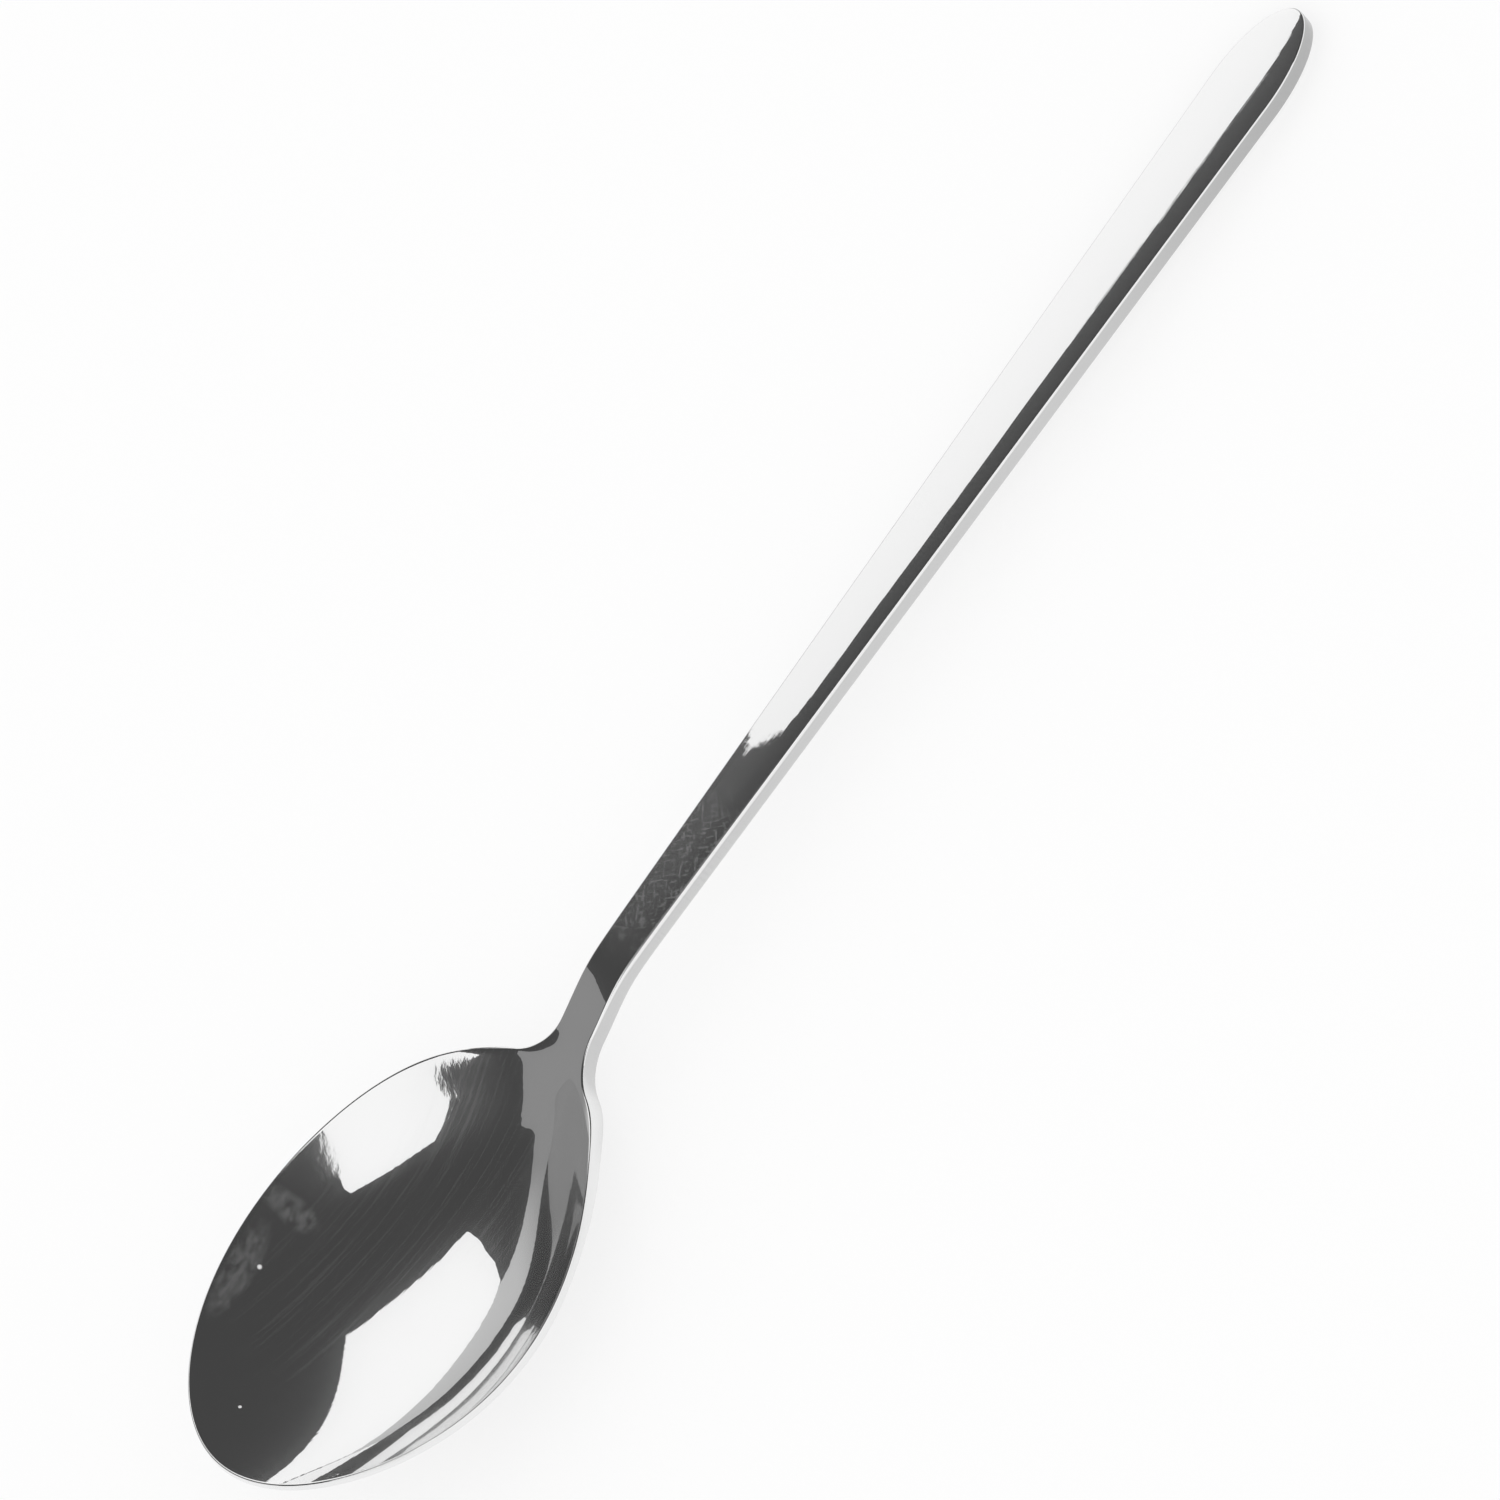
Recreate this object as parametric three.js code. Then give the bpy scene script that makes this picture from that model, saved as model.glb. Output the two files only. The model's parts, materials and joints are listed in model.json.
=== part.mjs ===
import * as THREE from 'three';
import { NURBSCurve } from 'three/addons/curves/NURBSCurve.js';
import { mergeVertices } from 'three/addons/utils/BufferGeometryUtils.js';

// A teaspoon in one piece of stainless steel: rolled thin at the bowl end, blanked, pressed and polished.
// Lengths are in millimetres. It is drawn with X from the bowl's tip to the handle's end along the straight
// handle, Y across and Z up from the handle's front edges, and is laid down on the table at the end.

// Lengths along the spoon
const spoonLength = 140;
const bowlLength = 40.3;
const endRounding = 8;

// Widths across the spoon, between the front edges
const bowlWidth = 28.3;
const neckWidth = 3.4;
const handleEndWidth = 6.3;
const shoulderRadius = 4.5;

// The egg shape of the bowl: how far its belly sits toward the tip, and how much its ends are pointed
const eggLeanShare = 0.03;
const eggPointShare = 0.1;

// Heights of the front edges, and the depth of the hollow below them. Its walls are fullest at the deepest
// place and are eased toward the shoulders.
const tipRise = 2.3;
const rimDip = 1.45;
const neckDip = 3.3;
const bowlDepth = 6.5;
const wallFullShare = 0.42;
const shoulderEaseShare = 0.9;

// Metal
const handleThickness = 1.95;
const rimThickness = 0.75;
const crownShare = 0.04;
const edgeRadius = 0.3;

// Fineness of the facets
const eggSteps = 36;
const shoulderSteps = 8;
const neckSteps = 14;
const handleSteps = 9;
const endSteps = 9;
const acrossSteps = 9;

// Side lines of the front face

// Each row is a control point of the two side lines: its place along the spoon in bowl lengths, the height
// of the front edge there, and the share of the bowl's depth by which the centre lies lower.
const sideRows = [
  [0, tipRise, 0],
  [0.175, 0.37 * tipRise, 0.55],
  [0.4, -0.7 * rimDip, 0.8],
  [0.67, -rimDip, 0.98],
  [0.9, -0.45 * rimDip, 0.9],
  [0.965, -neckDip, 0],
  [1.1, -0.45 * neckDip, 0],
  [1.19, 0, 0],
  [1.31, 0, 0],
  [1.86, 0, 0],
];

// A smooth side line through the control points, given back as a function of the place along the spoon.
function sideLine(heightOf) {
  const points = sideRows.map((row) => new THREE.Vector3(row[0] * bowlLength, 0, heightOf(row)));
  points.push(new THREE.Vector3(spoonLength, 0, 0));
  const spans = points.length - 3;
  const inner = Array.from({ length: spans + 1 }, (_, knot) => knot / spans);
  const curve = new NURBSCurve(3, [0, 0, 0, ...inner, 1, 1, 1], points);
  const samples = curve.getPoints(1500);
  return (x) => {
    let low = 0;
    let high = samples.length - 1;
    while (high - low > 1) {
      const middle = (low + high) >> 1;
      if (samples[middle].x > x) high = middle;
      else low = middle;
    }
    const share = (x - samples[low].x) / (samples[high].x - samples[low].x);
    return THREE.MathUtils.lerp(samples[low].z, samples[high].z, share);
  };
}

const edgeHeight = sideLine((row) => row[1]);
const centreHeight = sideLine((row) => row[1] - bowlDepth * row[2]);

// Outline seen from above, from the tip to the handle's end, on the +Y side

function eggAt(angle) {
  const turn = Math.cos(angle);
  const half = (bowlWidth / 2) * Math.sin(angle) * (1 + eggLeanShare * turn - eggPointShare * turn * turn);
  return new THREE.Vector2((bowlLength / 2) * (1 - turn), half);
}

function handleHalf(x) {
  const share = (x - bowlLength) / (spoonLength - bowlLength);
  return THREE.MathUtils.lerp(neckWidth, handleEndWidth, share) / 2;
}

// Centre of a shoulder arc that touches the egg from outside at this angle.
function shoulderCentre(angle) {
  const along = eggAt(angle + 1e-4).sub(eggAt(angle - 1e-4)).normalize();
  return eggAt(angle).add(new THREE.Vector2(-along.y, along.x).multiplyScalar(shoulderRadius));
}

// The shoulder arc also touches the handle's edge. The angle where it leaves the egg is found by halving.
function shoulderStart() {
  let early = Math.PI / 2;
  let late = Math.PI;
  for (let pass = 0; pass < 40; pass += 1) {
    const middle = (early + late) / 2;
    const centre = shoulderCentre(middle);
    if (centre.y > handleHalf(centre.x) + shoulderRadius) early = middle;
    else late = middle;
  }
  return early;
}

function traceOutline() {
  const line = [];
  const touch = shoulderStart();
  for (let step = 0; step <= eggSteps; step += 1) line.push(eggAt((touch * step) / eggSteps));

  const centre = shoulderCentre(touch);
  const first = line[line.length - 1].clone().sub(centre);
  const from = Math.atan2(first.y, first.x);
  const arc = new THREE.EllipseCurve(centre.x, centre.y, shoulderRadius, shoulderRadius, from, -Math.PI / 2);
  line.push(...arc.getPoints(shoulderSteps).slice(1));

  const neckEnd = 1.5 * bowlLength;
  const endStart = spoonLength - endRounding;
  for (let step = 1; step <= neckSteps; step += 1) {
    const x = THREE.MathUtils.lerp(centre.x, neckEnd, step / neckSteps);
    line.push(new THREE.Vector2(x, handleHalf(x)));
  }
  for (let step = 1; step <= handleSteps; step += 1) {
    const x = THREE.MathUtils.lerp(neckEnd, endStart, step / handleSteps);
    line.push(new THREE.Vector2(x, handleHalf(x)));
  }
  for (let step = 1; step <= endSteps; step += 1) {
    const turn = (Math.PI / 2) * (step / endSteps);
    const x = endStart + endRounding * Math.sin(turn);
    line.push(new THREE.Vector2(x, step < endSteps ? handleHalf(x) * Math.cos(turn) : 0));
  }
  return line;
}

const outline = traceOutline();

function halfWidth(x) {
  let next = 1;
  while (next < outline.length - 1 && outline[next].x < x) next += 1;
  const before = outline[next - 1];
  const after = outline[next];
  return THREE.MathUtils.lerp(before.y, after.y, (x - before.x) / (after.x - before.x));
}

// The sheet of metal: its front face before the handle's crown is added

function thickness(x) {
  const share = THREE.MathUtils.smoothstep(x, 0.65 * bowlLength, 1.1 * bowlLength);
  return THREE.MathUtils.lerp(rimThickness, handleThickness, share);
}

// A point of the sheet at a share of the half width, with the direction square to the sheet there.
function sheetAt(x, y, share) {
  const lift = edgeHeight(x) - centreHeight(x);
  const ease = shoulderEaseShare * THREE.MathUtils.smoothstep(x, 0.55 * bowlLength, bowlLength);
  const fullness = wallFullShare * (lift / bowlDepth) - ease;
  const rise = (1 - fullness) * share ** 2 + fullness * share ** 4;
  const steepness = 2 * (1 - fullness) * share + 4 * fullness * share ** 3;
  const inBowl = 1 - THREE.MathUtils.smoothstep(x, 0.77 * bowlLength, 1.02 * bowlLength);
  const slopeAlong = (centreHeight(x + 0.05) - centreHeight(x - 0.05)) / 0.1;
  const slopeAcross = (inBowl * lift * steepness) / Math.max(halfWidth(x), edgeRadius);
  return {
    point: new THREE.Vector3(x, y, centreHeight(x) + lift * rise),
    square: new THREE.Vector3(-slopeAlong, -slopeAcross, 1).normalize(),
  };
}

// Half of the section at one outline point, from the middle of the front to the middle of the back.
function halfSection(place) {
  const here = outline[place];
  const before = outline[place - 1] ?? new THREE.Vector2(outline[1].x, -outline[1].y);
  const last = outline.length - 1;
  const after = outline[place + 1] ?? new THREE.Vector2(outline[last - 1].x, -outline[last - 1].y);
  const along = after.clone().sub(before).normalize();
  const inset = new THREE.Vector2(here.x + along.y * edgeRadius, here.y - along.x * edgeRadius);
  inset.y = Math.max(inset.y, 0);

  const width = halfWidth(inset.x);
  const crown = crownShare * inset.y * THREE.MathUtils.smoothstep(inset.x, bowlLength, 1.2 * bowlLength);
  const front = [];
  const back = [];
  for (let step = 0; step < acrossSteps; step += 1) {
    const share = Math.sin((Math.PI / 2) * (step / (acrossSteps - 1)));
    const y = inset.y * share;
    const { point, square } = sheetAt(inset.x, y, width > 0 ? y / width : 0);
    front.push(point.clone().addScaledVector(square, crown * (1 - share ** 2)));
    back.push(point.clone().addScaledVector(square, -thickness(inset.x)));
  }

  // The front and back corners of the edge are rounded off.
  const edge = sheetAt(here.x, here.y, 1);
  const corner = edge.point;
  const heel = corner.clone().addScaledVector(edge.square, -thickness(here.x));
  const cut = 1 - Math.SQRT1_2;
  const round = [
    corner.clone().lerp(front[acrossSteps - 1], cut).addScaledVector(edge.square, -edgeRadius * cut),
    corner.clone().addScaledVector(edge.square, -edgeRadius),
    heel.clone().addScaledVector(edge.square, edgeRadius),
    heel.clone().lerp(back[acrossSteps - 1], cut).addScaledVector(edge.square, edgeRadius * cut),
  ];
  return [...front, ...round, ...back.reverse()];
}

// Lofts the sections into one closed body. Where a section narrows to nothing, empty triangles are left out.
function loftSpoon() {
  const rings = outline.map((_, place) => {
    const half = halfSection(place);
    const other = half.slice(1, -1).map((point) => new THREE.Vector3(point.x, -point.y, point.z));
    return [...half, ...other.reverse()];
  });
  const size = rings[0].length;
  const triangles = [];
  for (let ring = 0; ring < rings.length - 1; ring += 1) {
    for (let side = 0; side < size; side += 1) {
      const next = (side + 1) % size;
      const near = ring * size;
      const far = near + size;
      triangles.push([near + side, far + side, near + next], [near + next, far + side, far + next]);
    }
  }
  const loose = new THREE.BufferGeometry();
  const positions = rings.flat().flatMap((point) => [point.x, point.y, point.z]);
  loose.setAttribute('position', new THREE.Float32BufferAttribute(positions, 3));
  loose.setIndex(triangles.flat());
  const joined = mergeVertices(loose, 1e-3);
  const kept = [];
  for (let corner = 0; corner < joined.index.count; corner += 3) {
    const [a, b, c] = [0, 1, 2].map((offset) => joined.index.getX(corner + offset));
    if (a !== b && b !== c && c !== a) kept.push(a, b, c);
  }
  joined.setIndex(kept);
  return joined;
}

// Lowest corner of the body between two places along the spoon.
function lowestCorner(geometry, from, to) {
  const corners = geometry.attributes.position;
  const lowest = new THREE.Vector3(0, 0, Infinity);
  for (let corner = 0; corner < corners.count; corner += 1) {
    const x = corners.getX(corner);
    if (x > from && x < to && corners.getZ(corner) < lowest.z) lowest.fromBufferAttribute(corners, corner);
  }
  return lowest;
}

// The spoon lies on the underside of its bowl and on the end of its handle.
function layOnTable(geometry) {
  for (let pass = 0; pass < 8; pass += 1) {
    const bowl = lowestCorner(geometry, -spoonLength, bowlLength);
    const end = lowestCorner(geometry, spoonLength / 2, 2 * spoonLength);
    geometry.rotateY(Math.atan2(end.z - bowl.z, end.x - bowl.x));
  }
  geometry.computeBoundingBox();
  const box = geometry.boundingBox;
  geometry.translate(-(box.min.x + box.max.x) / 2, 0, -box.min.z);
  geometry.computeVertexNormals();
  return geometry;
}

const polishedSteel = new THREE.MeshStandardMaterial({ color: 0xc4c5c7, metalness: 1, roughness: 0.12 });
const spoon = new THREE.Mesh(layOnTable(loftSpoon()), polishedSteel);
spoon.name = 'spoon';

const teaspoon = new THREE.Group();
teaspoon.name = 'teaspoon';
teaspoon.add(spoon);

export default teaspoon;
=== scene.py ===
import json
import math

import bmesh
import bpy
import numpy as np
from mathutils import Matrix, Vector


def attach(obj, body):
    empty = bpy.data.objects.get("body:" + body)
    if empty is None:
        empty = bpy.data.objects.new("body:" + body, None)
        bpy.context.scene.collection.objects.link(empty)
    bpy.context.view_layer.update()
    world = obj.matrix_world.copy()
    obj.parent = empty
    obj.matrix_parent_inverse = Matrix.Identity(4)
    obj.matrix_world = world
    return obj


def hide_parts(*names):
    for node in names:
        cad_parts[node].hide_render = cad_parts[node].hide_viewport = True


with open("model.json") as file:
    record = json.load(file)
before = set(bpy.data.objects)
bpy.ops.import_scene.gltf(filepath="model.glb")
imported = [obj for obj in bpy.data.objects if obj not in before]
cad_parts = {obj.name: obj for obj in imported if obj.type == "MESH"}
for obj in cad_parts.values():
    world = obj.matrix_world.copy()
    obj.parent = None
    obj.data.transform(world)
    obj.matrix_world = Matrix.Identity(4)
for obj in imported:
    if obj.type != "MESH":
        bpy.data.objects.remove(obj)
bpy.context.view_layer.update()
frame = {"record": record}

# Spoon
# The whole teaspoon is one piece of stainless steel: a strip rolled thin towards the bowl, blanked to its
# outline, pressed between dies and mirror polished. This fine loft stands for the CAD solid of that form.
# It is drawn in metres, with X from the tip along the handle and Z up from the handle's front edges.

spoon_length = 0.140
bowl_length = 0.0403
end_rounding = 0.008

bowl_width = 0.0283
neck_width = 0.0034
handle_end_width = 0.0063
shoulder_radius = 0.0045
egg_lean_share = 0.03
egg_point_share = 0.1

tip_rise = 0.0023
rim_dip = 0.00145
neck_dip = 0.0033
bowl_depth = 0.0065
wall_full_share = 0.42
shoulder_ease_share = 0.9

handle_thickness = 0.00195
rim_thickness = 0.00075
crown_share = 0.04

# The edges differ from the CAD solid's: a finer rounding at the rim, an end wall that leans from square to
# the sheet towards upright, and a rounding along the handle that is deeper than wide and fades to its end.
rim_edge_radius = 0.00015
rim_upright_share = 0.5
neck_edge_depth = 0.0006
end_edge_depth = 0.00025
edge_width_share = 0.5

# Places along the spoon between which the sheet changes
ease_start = 0.55 * bowl_length
thin_until = 0.65 * bowl_length
hollow_until = 0.77 * bowl_length
flat_from = 1.02 * bowl_length
thick_from = 1.1 * bowl_length
crowned_from = 1.2 * bowl_length
handle_edge_from = 1.3 * bowl_length
neck_end = 1.5 * bowl_length
end_start = spoon_length - end_rounding

# Control points of the two side lines: place in bowl lengths, height of the front edge, and the share of
# the bowl's depth by which the centre lies lower.
side_rows = [
    (0, tip_rise, 0),
    (0.175, 0.37 * tip_rise, 0.55),
    (0.4, -0.7 * rim_dip, 0.8),
    (0.67, -rim_dip, 0.98),
    (0.9, -0.45 * rim_dip, 0.9),
    (0.965, -neck_dip, 0),
    (1.1, -0.45 * neck_dip, 0),
    (1.19, 0, 0),
    (1.31, 0, 0),
    (1.86, 0, 0),
]
side_samples = 6000


def cubic_line(points, samples):
    """Points of a clamped cubic B-spline, by the de Boor recursion."""
    points = np.array(points, dtype=float)
    spans = len(points) - 3
    knots = np.concatenate(([0] * 3, np.linspace(0, 1, spans + 1), [1] * 3))
    place = np.linspace(0, 1, samples)
    span = np.minimum((place * spans).astype(int), spans - 1) + 3
    near = [points[span - 3 + offset] for offset in range(4)]
    for level in range(1, 4):
        for offset in range(3, level - 1, -1):
            low = knots[span - 3 + offset]
            high = knots[span + 1 + offset - level]
            share = ((place - low) / (high - low))[:, None]
            near[offset] = (1 - share) * near[offset - 1] + share * near[offset]
    return near[3]


side_points = [(place * bowl_length, edge, edge - bowl_depth * drop) for place, edge, drop in side_rows]
side_line = cubic_line(side_points + [(spoon_length, 0, 0)], side_samples)
side_x, side_edge, side_centre = side_line.T
side_slope = np.gradient(side_centre, side_x)


def smoothstep(value, low, high):
    share = np.clip((value - low) / (high - low), 0, 1)
    return share * share * (3 - 2 * share)


def egg_at(angle):
    turn = np.cos(angle)
    half = bowl_width / 2 * np.sin(angle) * (1 + egg_lean_share * turn - egg_point_share * turn * turn)
    return np.array([bowl_length / 2 * (1 - turn), half])


def handle_half(x):
    share = (x - bowl_length) / (spoon_length - bowl_length)
    return (neck_width + (handle_end_width - neck_width) * share) / 2


def shoulder_centre(angle):
    """Centre of a shoulder arc that touches the egg from outside at this angle."""
    nudge = 1e-4
    along = egg_at(angle + nudge) - egg_at(angle - nudge)
    along /= np.hypot(*along)
    return egg_at(angle) + shoulder_radius * np.array([-along[1], along[0]])


def shoulder_start():
    """The shoulder arc also touches the handle's edge: the angle where it leaves the egg, by halving."""
    early = math.pi / 2
    late = math.pi
    halvings = 40
    for _ in range(halvings):
        middle = (early + late) / 2
        centre = shoulder_centre(middle)
        if centre[1] > handle_half(centre[0]) + shoulder_radius:
            early = middle
        else:
            late = middle
    return early


# Outline on the +Y side from the tip to the handle's end. Each row is x, y and the place on the centre line
# from which the section to that point starts, so that the sections fan out round both ends.
fan_share = 0.72
end_fan_share = 0.5
egg_steps = 150
arc_steps = 40
neck_steps = 80
handle_steps = 60
end_steps = 40

outline = []
touch = shoulder_start()
for angle in np.linspace(0, touch, egg_steps):
    x, y = egg_at(angle)
    outline.append((x, y, bowl_length / 2 * (1 - fan_share * math.cos(angle))))

arc_centre = shoulder_centre(touch)
arc_from = math.atan2(outline[-1][1] - arc_centre[1], outline[-1][0] - arc_centre[0])
spine_from = outline[-1][2]
for step in range(1, arc_steps + 1):
    share = step / arc_steps
    turn = arc_from + (-math.pi / 2 - arc_from) * share
    x = arc_centre[0] + shoulder_radius * math.cos(turn)
    y = arc_centre[1] + shoulder_radius * math.sin(turn)
    outline.append((x, y, spine_from + (arc_centre[0] - spine_from) * share))

for x in np.linspace(arc_centre[0], neck_end, neck_steps)[1:]:
    outline.append((x, handle_half(x), x))
for x in np.linspace(neck_end, end_start, handle_steps)[1:]:
    outline.append((x, handle_half(x), x))
for turn in np.linspace(0, math.pi / 2, end_steps)[1:]:
    x = end_start + end_rounding * math.sin(turn)
    y = handle_half(x) * math.cos(turn)
    outline.append((x, y, end_start + end_fan_share * end_rounding * math.sin(turn)))
outline[-1] = (spoon_length, 0, outline[-1][2])
outline = np.array(outline)


def sheet_at(x, y):
    """Front face without the handle's crown, and the direction square to it."""
    smallest_half = 1e-6
    half = np.maximum(np.interp(x, outline[:, 0], outline[:, 1]), smallest_half)
    share = np.clip(y / half, 0, 1)
    centre = np.interp(x, side_x, side_centre)
    lift = np.interp(x, side_x, side_edge) - centre
    ease = shoulder_ease_share * smoothstep(x, ease_start, bowl_length)
    fullness = wall_full_share * lift / bowl_depth - ease
    rise = (1 - fullness) * share**2 + fullness * share**4
    steepness = 2 * (1 - fullness) * share + 4 * fullness * share**3
    in_bowl = 1 - smoothstep(x, hollow_until, flat_from)
    across = in_bowl * lift * steepness / np.maximum(half, rim_edge_radius)
    along = np.interp(x, side_x, side_slope)
    square = np.stack([-along, -across, np.ones_like(across)], axis=-1)
    square /= np.linalg.norm(square, axis=-1, keepdims=True)
    return np.stack([x, y, centre + lift * rise], axis=-1), square


def thickness(x):
    thickened = smoothstep(x, thin_until, thick_from)
    return rim_thickness + (handle_thickness - rim_thickness) * thickened


across_steps = 44
rounding_steps = 7


def half_sections():
    """All sections on the +Y side, from the middle of the front over the edge to the middle of the back."""
    mirror = np.array([1, -1, 1])
    before = np.vstack([outline[1] * mirror, outline[:-1]])
    after = np.vstack([outline[1:], outline[-2] * mirror])
    along = after[:, :2] - before[:, :2]
    along /= np.linalg.norm(along, axis=1, keepdims=True)
    on_handle = smoothstep(outline[:, 0], bowl_length, handle_edge_from)
    to_end = np.clip((outline[:, 0] - bowl_length) / (spoon_length - bowl_length), 0, 1)
    handle_edge_depth = neck_edge_depth + (end_edge_depth - neck_edge_depth) * to_end
    edge_depth = rim_edge_radius + (handle_edge_depth - rim_edge_radius) * on_handle
    edge_width = rim_edge_radius + (edge_width_share * handle_edge_depth - rim_edge_radius) * on_handle

    # The end wall runs from the front corner to the heel, the corner of the back.
    corner, edge_square = sheet_at(outline[:, 0], outline[:, 1])
    end_wall = edge_square + rim_upright_share * (np.array([0, 0, 1]) - edge_square)
    end_wall /= np.linalg.norm(end_wall, axis=1, keepdims=True)
    edge_thickness = thickness(outline[:, 0])[:, None]
    heel = corner - end_wall * edge_thickness / np.sum(end_wall * edge_square, axis=1, keepdims=True)
    heel_foot = heel + edge_square * edge_thickness

    reach = np.sin(np.linspace(0, math.pi / 2, across_steps))

    def fan(end):
        """Points and square directions of the sheet, from the centre line to a rounding short of the end."""
        end_x = end[:, 0] + along[:, 1] * edge_width
        end_y = np.maximum(end[:, 1] - along[:, 0] * edge_width, 0)
        x = outline[:, 2, None] + (end_x - outline[:, 2])[:, None] * reach
        return sheet_at(x, end_y[:, None] * reach)

    front, square = fan(corner)
    half = np.maximum(np.interp(front[..., 0], outline[:, 0], outline[:, 1]), rim_edge_radius)
    crowned = smoothstep(front[..., 0], bowl_length, crowned_from)
    crown = crown_share * half * crowned * (1 - (front[..., 1] / half) ** 2)
    front = front + square * np.maximum(crown, 0)[..., None]
    back, square = fan(heel_foot)
    back = back - square * thickness(back[..., 0])[..., None]

    rounding = []
    for turn in np.linspace(0, math.pi / 2, rounding_steps)[1:]:
        out = (corner - front[:, -1]) * math.sin(turn)
        down = edge_depth * (1 - math.cos(turn))
        rounding.append(front[:, -1] + out - end_wall * down[:, None])
    for turn in np.linspace(math.pi / 2, 0, rounding_steps)[:-1]:
        out = (heel - back[:, -1]) * math.sin(turn)
        up = edge_depth * (1 - math.cos(turn))
        rounding.append(back[:, -1] + out + end_wall * up[:, None])
    return np.concatenate([front, np.stack(rounding, axis=1), back[:, ::-1]], axis=1)


def loft_spoon():
    """One closed mesh through all sections. Points that meet at the tip and the end are joined."""
    sections = half_sections()
    other_side = sections[:, -2:0:-1] * np.array([1, -1, 1])
    rings = np.concatenate([sections, other_side], axis=1)
    count, size = rings.shape[:2]
    faces = []
    for ring in range(count - 1):
        near = ring * size
        far = near + size
        for side in range(size):
            beside = (side + 1) % size
            faces.append((near + side, far + side, far + beside, near + beside))
    mesh = bpy.data.meshes.new("spoon_fine")
    mesh.from_pydata(rings.reshape(-1, 3).tolist(), [], faces)
    same_point = 1e-7
    empty_edge = 1e-8
    work = bmesh.new()
    work.from_mesh(mesh)
    bmesh.ops.remove_doubles(work, verts=work.verts, dist=same_point)
    bmesh.ops.dissolve_degenerate(work, edges=work.edges, dist=empty_edge)
    bmesh.ops.recalc_face_normals(work, faces=work.faces)
    work.to_mesh(mesh)
    work.free()
    mesh.shade_smooth()
    return mesh


# The handle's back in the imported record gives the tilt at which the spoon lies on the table.
back_mount = next(mount for mount in frame["record"]["mounts"] if mount["name"] == "handle_back")
lie_angle = math.atan2(-back_mount["axis"][0], -back_mount["axis"][2])

spoon_mesh = loft_spoon()
spoon_mesh.transform(Matrix.Rotation(lie_angle, 4, "Y"))
spoon_points = np.array([vertex.co for vertex in spoon_mesh.vertices])
low_corner = spoon_points.min(axis=0)
high_corner = spoon_points.max(axis=0)
spoon_mesh.transform(Matrix.Translation((-(low_corner[0] + high_corner[0]) / 2, 0, -low_corner[2])))
spoon = bpy.data.objects.new("spoon_fine", spoon_mesh)
bpy.context.collection.objects.link(spoon)

# Mirror polish leaves fine lines along the spoon, a slight peel, and rough press marks near the bowl's edge.
# Use leaves a thin hazy film, finger smudges by the edge, crossed scratches on the neck and specks of dust.
# The rim's end wall and the handle's sides are only ground; the sides also carry a painted shade. Places are
# metres in the shared frame.

polished_steel = bpy.data.materials.new("polished_steel")
polished_steel.use_nodes = True
steel_tree = polished_steel.node_tree
steel = steel_tree.nodes["Principled BSDF"]
steel_place = steel_tree.nodes.new("ShaderNodeTexCoord")


def maths(operation, *values):
    """One math node of the steel. Each value is a number or the output of another node."""
    node = steel_tree.nodes.new("ShaderNodeMath")
    node.operation = operation
    for socket, value in zip(node.inputs, values):
        if isinstance(value, (int, float)):
            socket.default_value = value
        else:
            steel_tree.links.new(value, socket)
    return node.outputs["Value"]


def ramp(value, zero_at, one_at):
    """Smooth step from 0 to 1 between two values, in either direction."""
    node = steel_tree.nodes.new("ShaderNodeMapRange")
    node.interpolation_type = "SMOOTHSTEP"
    node.inputs["From Min"].default_value = zero_at
    node.inputs["From Max"].default_value = one_at
    steel_tree.links.new(value, node.inputs["Value"])
    return node.outputs["Result"]


def spread(centre, turn, size):
    """Place measured from a centre, turned about Z by some degrees and divided by a size on each axis."""
    node = steel_tree.nodes.new("ShaderNodeMapping")
    node.vector_type = "TEXTURE"
    node.inputs["Location"].default_value = centre
    node.inputs["Rotation"].default_value = (0, 0, math.radians(turn))
    node.inputs["Scale"].default_value = size
    steel_tree.links.new(steel_place.outputs["Object"], node.inputs["Vector"])
    return node.outputs["Vector"]


def grain(turn, size, detail):
    """Noise with features of the given size in metres."""
    node = steel_tree.nodes.new("ShaderNodeTexNoise")
    node.inputs["Scale"].default_value = 1
    node.inputs["Detail"].default_value = detail
    steel_tree.links.new(spread((0, 0, 0), turn, size), node.inputs["Vector"])
    return node.outputs["Fac"]


def patch(centre, turn, size):
    """1 inside an oval patch, fading to 0 at its edge."""
    node = steel_tree.nodes.new("ShaderNodeVectorMath")
    node.operation = "LENGTH"
    steel_tree.links.new(spread(centre, turn, size), node.inputs[0])
    return ramp(node.outputs["Value"], zero_at=1.0, one_at=0.5)


def speck(centre, radius):
    return patch(centre, turn=0, size=(radius, radius, radius))


def axis_of(vector, axis):
    """One axis of a vector."""
    node = steel_tree.nodes.new("ShaderNodeSeparateXYZ")
    steel_tree.links.new(vector, node.inputs["Vector"])
    return node.outputs[axis]


# A grain with this size along Z looks the same at every height of the spoon.
upright = 1.0

polish_lines = grain(turn=0, size=(0.016, 0.00022, upright), detail=2)
peel = grain(turn=0, size=(0.0009, 0.0008, 0.0008), detail=1)

left_edge_strength = 2.6
press_grain = grain(turn=25, size=(0.0012, 0.0005, 0.0012), detail=2)
by_left_edge = patch(centre=(-0.0475, 0.0132, 0.0065), turn=0, size=(0.0036, 0.0026, 0.01))
by_shoulder = patch(centre=(-0.0351, 0.0072, 0.005), turn=0, size=(0.0026, 0.0028, 0.01))
near_edge = maths("MULTIPLY_ADD", by_left_edge, left_edge_strength, by_shoulder)
press_marks = maths("MULTIPLY", press_grain, near_edge)

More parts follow.
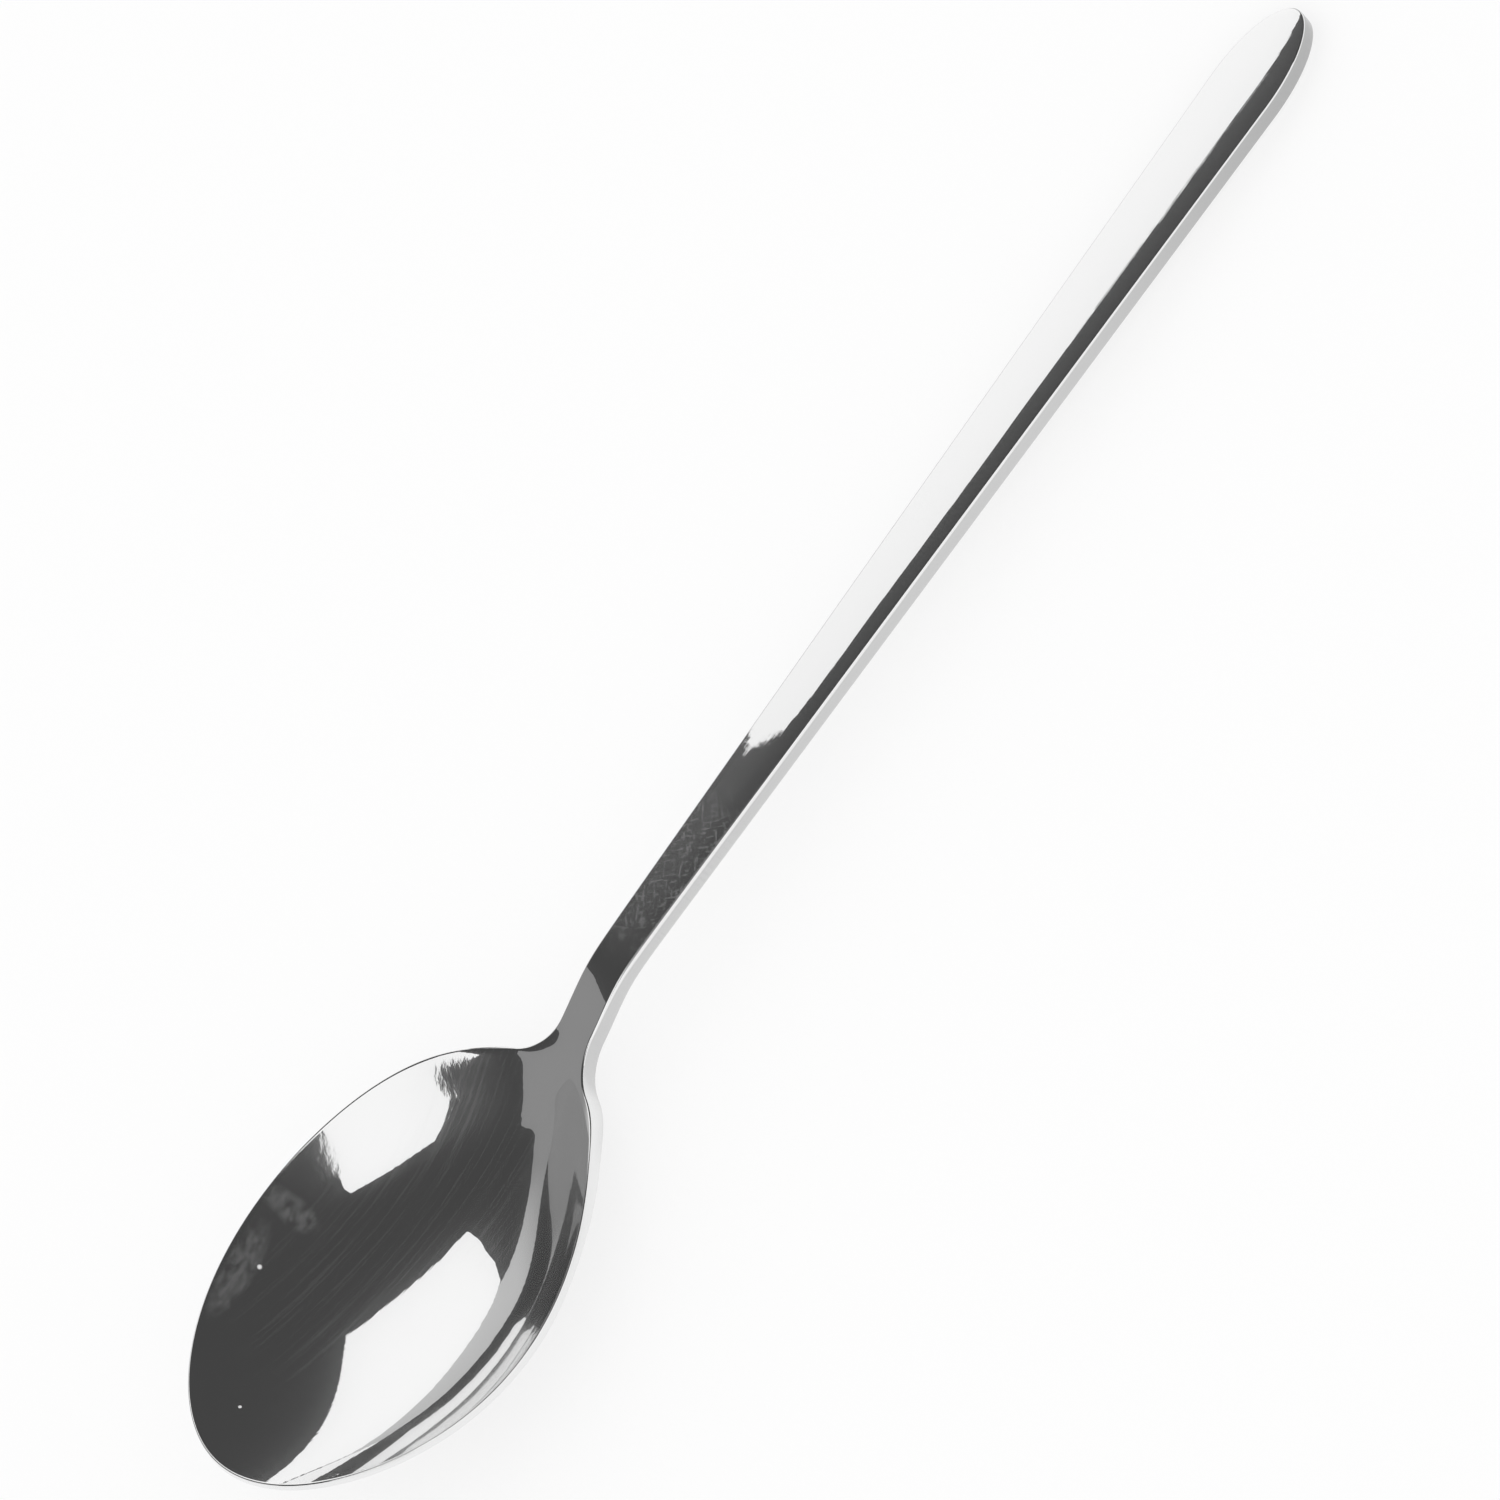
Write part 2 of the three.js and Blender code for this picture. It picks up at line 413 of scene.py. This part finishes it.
on_neck = patch(centre=(-0.0125, 0, 0.006), turn=0, size=(0.009, 0.004, 0.01))
one_way = ramp(grain(turn=38, size=(0.0011, 0.00024, upright), detail=1), zero_at=0.56, one_at=0.7)
other_way = ramp(grain(turn=-47, size=(0.0009, 0.00024, upright), detail=1), zero_at=0.56, one_at=0.7)
scratches = maths("MULTIPLY", maths("MAXIMUM", one_way, other_way), on_neck)

smear = ramp(grain(turn=15, size=(0.0012, 0.0005, upright), detail=3), zero_at=0.3, one_at=0.7)
short_print = patch(centre=(-0.0512, 0.0122, 0.006), turn=80, size=(0.0028, 0.0013, 0.006))
long_print = patch(centre=(-0.0572, 0.0118, 0.008), turn=15, size=(0.0052, 0.0012, 0.006))
smudges = maths("MULTIPLY", maths("MAXIMUM", short_print, long_print), smear)

in_hollow = patch(centre=(-0.047, 0.003, 0.004), turn=0, size=(0.022, 0.012, 0.03))
fine_lines = maths("MULTIPLY", ramp(polish_lines, zero_at=0.5, one_at=0.68), in_hollow)

large_speck = speck(centre=(-0.05617, 0.01107, 0.0069), radius=0.00025)
small_speck = speck(centre=(-0.06551, 0.00357, 0.0093), radius=0.00018)
dust = maths("MAXIMUM", large_speck, small_speck)

# Ground faces are known by how upright they are, and the handle's sides, which take a painted shade, also by
# their place along it.
along_spoon = axis_of(steel_place.outputs["Object"], "X")
levelness = maths("ABSOLUTE", axis_of(steel_place.outputs["Normal"], "Z"))
ground_rim = ramp(levelness, zero_at=0.58, one_at=0.42)
past_bowl = ramp(along_spoon, zero_at=-0.036, one_at=-0.028)
ground_side_shade_mask = maths("MULTIPLY", ramp(levelness, zero_at=0.3, one_at=0.12), past_bowl)

# Relief in thousandths of a millimetre
relief_unit = 1e-6
peel_relief = 0.5
press_relief = 5.0
scratch_relief = -0.3
relief = maths("MULTIPLY_ADD", peel, peel_relief, polish_lines)
relief = maths("MULTIPLY_ADD", press_marks, press_relief, relief)
relief = maths("MULTIPLY_ADD", scratches, scratch_relief, relief)
bump = steel_tree.nodes.new("ShaderNodeBump")
bump.inputs["Distance"].default_value = relief_unit
steel_tree.links.new(relief, bump.inputs["Height"])
steel_tree.links.new(bump.outputs["Normal"], steel.inputs["Normal"])

polish_roughness = 0.006
peel_roughness = 0.012
press_roughness = 0.04
ground_roughness = 0.22
roughness = maths("MULTIPLY_ADD", peel, peel_roughness, polish_roughness)
roughness = maths("MULTIPLY_ADD", near_edge, press_roughness, roughness)
roughness = maths("MULTIPLY_ADD", ground_rim, ground_roughness, roughness)
steel_tree.links.new(roughness, steel.inputs["Roughness"])

# The hazy film is a rough coat, a little denser on the fine lines.
even_haze = 0.6
line_haze = 0.25
haze = maths("MULTIPLY_ADD", fine_lines, line_haze, even_haze)
steel_tree.links.new(haze, steel.inputs["Coat Weight"])
steel.inputs["Coat Roughness"].default_value = 0.25
steel.inputs["Coat IOR"].default_value = 2.5

# Grease, scratches and dust cover the metal in part.
line_cover = 0.02
smudge_cover = 0.1
scratch_cover = 0.1
cover = maths("MULTIPLY", fine_lines, line_cover)
cover = maths("MULTIPLY_ADD", smudges, smudge_cover, cover)
cover = maths("MULTIPLY_ADD", scratches, scratch_cover, cover)
cover = maths("MAXIMUM", cover, dust)
steel_tree.links.new(maths("SUBTRACT", 1, cover), steel.inputs["Metallic"])

# The handle's ground sides get a darker colour, most of all at the handle's end. It is painted shade,
# standing for the shadowed table beside the handle that the sides reflect.
polished_grey = (0.86, 0.86, 0.86, 1)
ground_side_shade_grey = (0.4, 0.4, 0.4, 1)
neck_side_shade = 0.6
end_side_shade = 1.0
near_end = ramp(along_spoon, zero_at=0.03, one_at=0.07)
side_shade_amount = maths("MULTIPLY_ADD", near_end, end_side_shade - neck_side_shade, neck_side_shade)
side_shade_tint = steel_tree.nodes.new("ShaderNodeMixRGB")
side_shade_tint.inputs["Color1"].default_value = polished_grey
side_shade_tint.inputs["Color2"].default_value = ground_side_shade_grey
steel_tree.links.new(maths("MULTIPLY", ground_side_shade_mask, side_shade_amount), side_shade_tint.inputs["Fac"])
steel_tree.links.new(side_shade_tint.outputs["Color"], steel.inputs["Base Color"])
spoon_mesh.materials.append(polished_steel)

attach(spoon, "root")
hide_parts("spoon")

# Table
# A plain white table top, matt and without a gloss, far wider than the picture. The spoon lies on it with
# nothing between, and it takes the spoon's soft shadow.

table_side = 14.0
half_side = table_side / 2
table_corners = [
    (-half_side, -half_side, 0),
    (half_side, -half_side, 0),
    (half_side, half_side, 0),
    (-half_side, half_side, 0),
]
table_mesh = bpy.data.meshes.new("table")
table_mesh.from_pydata(table_corners, [], [(0, 1, 2, 3)])
table = bpy.data.objects.new("table", table_mesh)
bpy.context.collection.objects.link(table)
table_white = bpy.data.materials.new("table_white")
table_white.use_nodes = True
table_tree = table_white.node_tree
paper = table_tree.nodes["Principled BSDF"]
paper.inputs["Base Color"].default_value = (0.95, 0.95, 0.95, 1)
paper.inputs["Roughness"].default_value = 0.9
paper.inputs["Specular IOR Level"].default_value = 0


def either(one, other):
    """The larger of two outputs in the table's material."""
    node = table_tree.nodes.new("ShaderNodeMath")
    node.operation = "MAXIMUM"
    table_tree.links.new(one, node.inputs[0])
    table_tree.links.new(other, node.inputs[1])
    return node.outputs["Value"]


# Most of its white is even and only seen, by the camera, in the steel and through glass. That part lights
# nothing, and it keeps the shadow faint.
even_white_share = 0.7
even_white = table_tree.nodes.new("ShaderNodeEmission")
even_white.inputs["Color"].default_value = (1, 1, 1, 1)
even_white.inputs["Strength"].default_value = 1
ray = table_tree.nodes.new("ShaderNodeLightPath").outputs
seen = either(either(ray["Is Camera Ray"], ray["Is Glossy Ray"]), ray["Is Transmission Ray"])
even_part = table_tree.nodes.new("ShaderNodeMath")
even_part.operation = "MULTIPLY"
even_part.inputs[1].default_value = even_white_share
table_tree.links.new(seen, even_part.inputs[0])
blend = table_tree.nodes.new("ShaderNodeMixShader")
table_tree.links.new(even_part.outputs["Value"], blend.inputs["Fac"])
table_tree.links.new(paper.outputs["BSDF"], blend.inputs[1])
table_tree.links.new(even_white.outputs["Emission"], blend.inputs[2])
table_tree.links.new(blend.outputs["Shader"], table_tree.nodes["Material Output"].inputs["Surface"])
table_mesh.materials.append(table_white)

# Studio light
# The room is evenly white. Polished steel shows its surroundings, so it gets a dark tent over the table, a
# grey wall on the far side, a softbox on either side and a low white board on the near side. They show
# only in reflections, and of them only the softboxes light the table.


def light_card(name, points, faces, strength, lights_table):
    """A flat or curved card that shows only in reflections, with one even brightness."""
    mesh = bpy.data.meshes.new(name)
    mesh.from_pydata(points, [], faces)
    card = bpy.data.objects.new(name, mesh)
    bpy.context.collection.objects.link(card)
    material = bpy.data.materials.new(name)
    material.use_nodes = True
    card_tree = material.node_tree
    card_tree.nodes.remove(card_tree.nodes["Principled BSDF"])
    glow = card_tree.nodes.new("ShaderNodeEmission")
    glow.inputs["Color"].default_value = (1, 1, 1, 1)
    glow.inputs["Strength"].default_value = strength
    card_tree.links.new(glow.outputs["Emission"], card_tree.nodes["Material Output"].inputs["Surface"])
    mesh.materials.append(material)
    card.visible_camera = False
    card.visible_diffuse = lights_table
    card.visible_shadow = False
    return card, glow


# Corners of the two softboxes, as x and height on their upright planes
softbox_glow = 1.06
far_plane = 1.5
far_outline = [
    (0.335, 2.62),
    (0.75, 2.56),
    (1.97, 2.7),
    (1.1, 0.02),
    (0.75, 0.02),
    (0.42, 0.55),
    (0.12, 0.92),
    (0.14, 1.25),
    (0.205, 1.6),
    (0.228, 1.9),
    (0.305, 2.52),
]
far_points = [(x, far_plane, height) for x, height in far_outline]
light_card("far_softbox", far_points, [tuple(range(len(far_points)))], softbox_glow, True)

near_plane = -1.5
near_outline = [
    (0.3, 2.98),
    (-0.45, 3.46),
    (-1.04, 3.69),
    (-1.61, 3.61),
    (-1.95, 3.48),
    (-2.2, 2.2),
    (-2.34, 1.72),
    (-2.38, 0.5),
    (-0.75, 0.5),
    (-0.37, 1.18),
    (0.2, 2.5),
]
near_points = [(x, near_plane, height) for x, height in near_outline]
light_card("near_softbox", near_points, [tuple(range(len(near_points)))], softbox_glow, True)

board_half = 0.9
board_height = 0.6
board_points = [
    (-board_half, near_plane, 0),
    (board_half, near_plane, 0),
    (board_half, near_plane, board_height),
    (-board_half, near_plane, board_height),
]
light_card("low_board", board_points, [(0, 1, 2, 3)], softbox_glow, False)

# The tent is half a ball, closed down to the table.
dark_glow = 0.062
tent_radius = 5.0
tent_rows = 9
tent_columns = 36
tent_points = []
tent_faces = []
for row in range(tent_rows + 1):
    rise = math.pi / 2 * row / tent_rows
    ring_radius = tent_radius * math.cos(rise)
    ring_height = tent_radius * math.sin(rise)
    for column in range(tent_columns):
        turn = 2 * math.pi * column / tent_columns
        tent_points.append((ring_radius * math.cos(turn), ring_radius * math.sin(turn), ring_height))
        if row < tent_rows:
            here = row * tent_columns + column
            beside = row * tent_columns + (column + 1) % tent_columns
            tent_faces.append((here, beside, beside + tent_columns, here + tent_columns))
light_card("dark_tent", tent_points, tent_faces, dark_glow, False)

# The wall is part of a ring round the table. Its top is given by direction and elevation, both in degrees.
wall_radius = 2.0
wall_glow = 0.28
wall_steps = 48
wall_top = [
    (60, 31),
    (97, 30.5),
    (103, 34),
    (109, 40),
    (121, 46.5),
    (134, 48),
    (146, 51.5),
    (158, 56),
    (170, 57),
    (183, 48),
    (187, 28),
]
top_azimuths, top_elevations = zip(*wall_top)
wall_points = []
wall_faces = []
for step in range(wall_steps + 1):
    azimuth = top_azimuths[0] + (top_azimuths[-1] - top_azimuths[0]) * step / wall_steps
    elevation = np.interp(azimuth, top_azimuths, top_elevations)
    turn = math.radians(azimuth)
    for height in (0.0, wall_radius * math.tan(math.radians(elevation))):
        wall_points.append((wall_radius * math.cos(turn), wall_radius * math.sin(turn), height))
    if step < wall_steps:
        wall_faces.append((2 * step, 2 * step + 2, 2 * step + 3, 2 * step + 1))
wall, wall_light = light_card("grey_wall", wall_points, wall_faces, wall_glow, False)

# It grows twice as bright towards the handle's side, between two shares of its width.
dim_until = 0.43
bright_from = 0.67
wall_tree = wall.data.materials[0].node_tree
wall_place = wall_tree.nodes.new("ShaderNodeTexCoord")
wall_axes = wall_tree.nodes.new("ShaderNodeSeparateXYZ")
wall_tree.links.new(wall_place.outputs["Generated"], wall_axes.inputs["Vector"])
brighten = wall_tree.nodes.new("ShaderNodeMapRange")
brighten.interpolation_type = "SMOOTHSTEP"
brighten.inputs["From Min"].default_value = dim_until
brighten.inputs["From Max"].default_value = bright_from
brighten.inputs["To Min"].default_value = wall_glow
brighten.inputs["To Max"].default_value = 2 * wall_glow
wall_tree.links.new(wall_axes.outputs["X"], brighten.inputs["Value"])
wall_tree.links.new(brighten.outputs["Result"], wall_light.inputs["Strength"])

room = bpy.data.worlds.new("white_room")
bpy.context.scene.world = room
room.use_nodes = True
room.node_tree.nodes["Background"].inputs["Color"].default_value = (1, 1, 1, 1)
room.node_tree.nodes["Background"].inputs["Strength"].default_value = 1.0

# Camera
# A long lens from above the table's near side, rolled so that the handle runs up to the right.

aim = Vector((-0.001545, 0.00062, 0.006268))
camera_distance = 0.70
camera_elevation = math.radians(56.05)
camera_azimuth = math.radians(-0.6)
camera_roll = math.radians(-55.38)
sensor_mm = 36
lens_mm = 217.6
nearest_seen = 0.01

camera_data = bpy.data.cameras.new("camera")
camera_data.sensor_width = sensor_mm
camera_data.lens = lens_mm
camera_data.clip_start = nearest_seen
camera = bpy.data.objects.new("camera", camera_data)
bpy.context.collection.objects.link(camera)
turn_view = (
    Matrix.Rotation(camera_azimuth, 4, "Z")
    @ Matrix.Rotation(math.pi / 2 - camera_elevation, 4, "X")
    @ Matrix.Rotation(camera_roll, 4, "Z")
)
camera.matrix_world = Matrix.Translation(aim) @ turn_view @ Matrix.Translation((0, 0, camera_distance))
bpy.context.scene.camera = camera
bpy.context.scene.view_settings.view_transform = "Standard"
